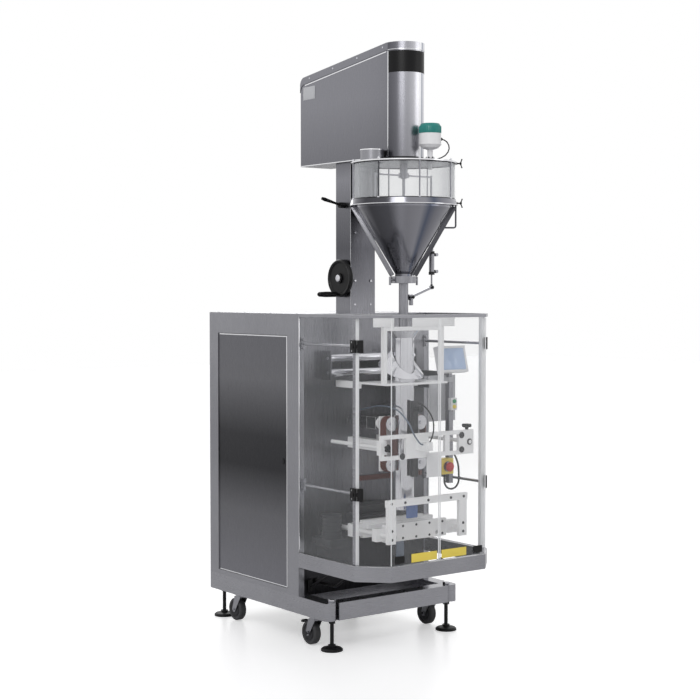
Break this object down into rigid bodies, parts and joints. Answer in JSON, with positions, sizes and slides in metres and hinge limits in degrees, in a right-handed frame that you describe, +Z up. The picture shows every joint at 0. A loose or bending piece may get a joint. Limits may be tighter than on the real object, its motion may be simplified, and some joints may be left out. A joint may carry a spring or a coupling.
{
  "type": "vertical form fill seal machine",
  "caption": "Vertical form fill seal bagging machine: steel cabinet on castors, clear guard with doors, forming tube, jaws and a lifting auger filler with hopper.",
  "frame": {"origin": "on the floor under the middle of the footprint", "axes": "+X to the machine's right seen from its front, +Y to the back, +Z up; the guard doors face -Y"},
  "size_m": [0.7, 1.175, 2.4603],
  "materials": {
    "stainless": "brushed stainless steel",
    "dark_steel": "brushed steel, darker grain",
    "polished": "polished steel shafts",
    "clear_acrylic": "clear acrylic",
    "white_paint": "white machined plates",
    "black_plastic": "moulded black plastic",
    "grey_rubber": "grey rubber tread",
    "belt_rubber": "brown vulcanised belt",
    "film": "wound packaging film",
    "sensor_plastic": "white moulded housing",
    "red_plastic": "red moulded button",
    "screen_plastic": "grey moulded case with a glass face"
  },
  "bodies": {
    "machine": {"base_frame": "stainless", "levelling_feet": "black_plastic", "rear_castor_forks": "stainless", "cabinet_frame": "stainless", "front_plate": "stainless", "guard_frame": "stainless", "guard_panes": "clear_acrylic", "hinge_clamps": "black_plastic", "forming_tube": "stainless", "forming_collar": "stainless", "collar_stand": "white_paint", "pull_belts": "belt_rubber", "belt_carriers": "white_paint", "sealer_bridge": "white_paint", "jaw_guides": "white_paint", "reel_stand": "stainless", "control_bracket": "stainless", "column": "stainless"},
    "filler": {"lift_block": "dark_steel", "head_housing": "stainless", "hopper_cone": "stainless", "hopper_window": "clear_acrylic", "hopper_lid": "stainless", "fill_tube": "stainless", "level_sensor": "sensor_plastic", "sensor_cable": "black_plastic", "drip_cylinder": "stainless"},
    "left_door": {"left_guard_door": "clear_acrylic", "left_door_fittings": "black_plastic"},
    "right_door": {"right_guard_door": "clear_acrylic", "right_door_fittings": "black_plastic"},
    "left_castor_fork": {"left_castor_fork": "stainless"},
    "right_castor_fork": {"right_castor_fork": "stainless"},
    "rear_left_wheel": {"rear_left_wheel": "grey_rubber"},
    "rear_right_wheel": {"rear_right_wheel": "grey_rubber"},
    "front_left_wheel": {"front_left_wheel": "grey_rubber"},
    "front_right_wheel": {"front_right_wheel": "grey_rubber"},
    "left_service_panel": {"left_service_panel": "dark_steel"},
    "right_service_panel": {"right_service_panel": "dark_steel"},
    "rear_door": {"rear_door": "stainless"},
    "lower_idler": {"lower_idler": "polished"},
    "upper_idler": {"upper_idler": "polished"},
    "left_drive_pulley": {"left_drive_pulley": "polished"},
    "right_drive_pulley": {"right_drive_pulley": "polished"},
    "left_tail_pulley": {"left_tail_pulley": "polished"},
    "right_tail_pulley": {"right_tail_pulley": "polished"},
    "vertical_sealer": {"vertical_sealer": "dark_steel"},
    "front_jaw": {"front_jaw": "white_paint"},
    "rear_jaw": {"rear_jaw": "white_paint"},
    "knife": {"knife": "polished"},
    "film_reel": {"film_reel": "film"},
    "touch_screen": {"touch_screen": "screen_plastic"},
    "stop_button": {"stop_button": "red_plastic"},
    "lift_screw": {"lift_screw": "polished"},
    "handwheel": {"handwheel": "black_plastic"},
    "crank_grip": {"crank_grip": "black_plastic"},
    "lock_lever": {"lock_lever": "black_plastic"},
    "auger": {"auger": "stainless"},
    "stirrer": {"stirrer": "stainless"},
    "drip_arm": {"drip_arm": "stainless"}
  },
  "joints": [
    {"name": "left_castor_swivel", "type": "hinge", "parent": "machine", "child": "left_castor_fork", "pos_m": [-0.31, -0.1645, 0.125], "axis": [0, 0, 1], "continuous": true},
    {"name": "front_left_wheel_roll", "type": "hinge", "parent": "left_castor_fork", "child": "front_left_wheel", "pos_m": [-0.31, -0.1365, 0.05], "axis": [1, 0, 0], "continuous": true},
    {"name": "rear_left_wheel_roll", "type": "hinge", "parent": "machine", "child": "rear_left_wheel", "pos_m": [-0.31, 0.4255, 0.05], "axis": [1, 0, 0], "continuous": true},
    {"name": "left_panel_hinge", "type": "hinge", "parent": "machine", "child": "left_service_panel", "pos_m": [-0.346, 0.515, 0.76], "axis": [0, 0, -1], "range_deg": [0, 100]},
    {"name": "left_door_hinge", "type": "hinge", "parent": "machine", "child": "left_door", "pos_m": [-0.344, -0.48002, 0.86], "axis": [0, 0, -1], "range_deg": [0, 105]},
    {"name": "left_drive_pulley_turn", "type": "hinge", "parent": "machine", "child": "left_drive_pulley", "pos_m": [-0.0765, -0.3545, 0.915], "axis": [0, 1, 0], "continuous": true},
    {"name": "left_tail_pulley_turn", "type": "hinge", "parent": "machine", "child": "left_tail_pulley", "pos_m": [-0.0765, -0.3545, 0.75], "axis": [0, 1, 0], "continuous": true},
    {"name": "right_castor_swivel", "type": "hinge", "parent": "machine", "child": "right_castor_fork", "pos_m": [0.31, -0.1645, 0.125], "axis": [0, 0, 1], "continuous": true},
    {"name": "front_right_wheel_roll", "type": "hinge", "parent": "right_castor_fork", "child": "front_right_wheel", "pos_m": [0.31, -0.1365, 0.05], "axis": [1, 0, 0], "continuous": true},
    {"name": "rear_right_wheel_roll", "type": "hinge", "parent": "machine", "child": "rear_right_wheel", "pos_m": [0.31, 0.4255, 0.05], "axis": [1, 0, 0], "continuous": true},
    {"name": "right_panel_hinge", "type": "hinge", "parent": "machine", "child": "right_service_panel", "pos_m": [0.346, 0.515, 0.76], "axis": [0, 0, 1], "range_deg": [0, 100]},
    {"name": "right_door_hinge", "type": "hinge", "parent": "machine", "child": "right_door", "pos_m": [0.344, -0.48002, 0.86], "axis": [0, 0, 1], "range_deg": [0, 105]},
    {"name": "right_drive_pulley_turn", "type": "hinge", "parent": "machine", "child": "right_drive_pulley", "pos_m": [0.0765, -0.3545, 0.915], "axis": [0, 1, 0], "continuous": true},
    {"name": "right_tail_pulley_turn", "type": "hinge", "parent": "machine", "child": "right_tail_pulley", "pos_m": [0.0765, -0.3545, 0.75], "axis": [0, 1, 0], "continuous": true},
    {"name": "rear_door_hinge", "type": "hinge", "parent": "machine", "child": "rear_door", "pos_m": [-0.3187, 0.5845, 0.76], "axis": [0, 0, 1], "range_deg": [0, 95]},
    {"name": "lower_idler_turn", "type": "hinge", "parent": "machine", "child": "lower_idler", "pos_m": [0, -0.1445, 1.12], "axis": [1, 0, 0], "continuous": true},
    {"name": "upper_idler_turn", "type": "hinge", "parent": "machine", "child": "upper_idler", "pos_m": [0, -0.1445, 1.18], "axis": [1, 0, 0], "continuous": true},
    {"name": "film_reel_turn", "type": "hinge", "parent": "machine", "child": "film_reel", "pos_m": [0, 0.3775, 0.52], "axis": [1, 0, 0], "continuous": true},
    {"name": "sealer_press", "type": "slide", "parent": "machine", "child": "vertical_sealer", "axis": [0, 1, 0], "range_m": [0, 0.012]},
    {"name": "front_jaw_close", "type": "slide", "parent": "machine", "child": "front_jaw", "axis": [0, 1, 0], "range_m": [0, 0.041]},
    {"name": "rear_jaw_close", "type": "slide", "parent": "machine", "child": "rear_jaw", "axis": [0, -1, 0], "range_m": [0, 0.041]},
    {"name": "knife_cut", "type": "slide", "parent": "front_jaw", "child": "knife", "axis": [0, 1, 0], "range_m": [0, 0.012]},
    {"name": "screen_tilt", "type": "hinge", "parent": "machine", "child": "touch_screen", "pos_m": [0.26, -0.3225, 1.161], "axis": [1, 0, 0], "range_deg": [-15, 25]},
    {"name": "stop_press", "type": "slide", "parent": "machine", "child": "stop_button", "axis": [0, 1, 0], "range_m": [0, 0.005], "stiffness_N_per_m": 900},
    {"name": "filler_lift", "type": "slide", "parent": "machine", "child": "filler", "axis": [0, 0, 1], "range_m": [0, 0.1]},
    {"name": "lift_screw_turn", "type": "hinge", "parent": "machine", "child": "lift_screw", "pos_m": [0, -0.029, 1.4], "axis": [0, 0, 1], "continuous": true},
    {"name": "handwheel_turn", "type": "hinge", "parent": "machine", "child": "handwheel", "pos_m": [-0.08, -0.029, 1.511], "axis": [1, 0, 0], "continuous": true},
    {"name": "crank_grip_turn", "type": "hinge", "parent": "handwheel", "child": "crank_grip", "pos_m": [-0.15, -0.029, 1.443], "axis": [1, 0, 0], "continuous": true},
    {"name": "lock_lever_turn", "type": "hinge", "parent": "machine", "child": "lock_lever", "pos_m": [-0.08, -0.037, 1.82], "axis": [1, 0, 0], "range_deg": [0, 60]},
    {"name": "auger_turn", "type": "hinge", "parent": "filler", "child": "auger", "pos_m": [0, -0.3545, 1.7], "axis": [0, 0, 1], "continuous": true},
    {"name": "stirrer_turn", "type": "hinge", "parent": "filler", "child": "stirrer", "pos_m": [0, -0.3545, 1.9], "axis": [0, 0, 1], "continuous": true},
    {"name": "drip_arm_swing", "type": "hinge", "parent": "filler", "child": "drip_arm", "pos_m": [0.0395, -0.3545, 1.432], "axis": [0, 1, 0], "range_deg": [0, 20]}
  ],
  "couplings": [
    {"joint": "right_drive_pulley_turn", "follows": "left_drive_pulley_turn", "ratio": -1},
    {"joint": "left_tail_pulley_turn", "follows": "left_drive_pulley_turn", "ratio": 1},
    {"joint": "right_tail_pulley_turn", "follows": "left_drive_pulley_turn", "ratio": -1},
    {"joint": "rear_jaw_close", "follows": "front_jaw_close", "ratio": 1},
    {"joint": "lift_screw_turn", "follows": "filler_lift", "rad_per_m": 314.16},
    {"joint": "handwheel_turn", "follows": "filler_lift", "rad_per_m": 314.16}
  ]
}
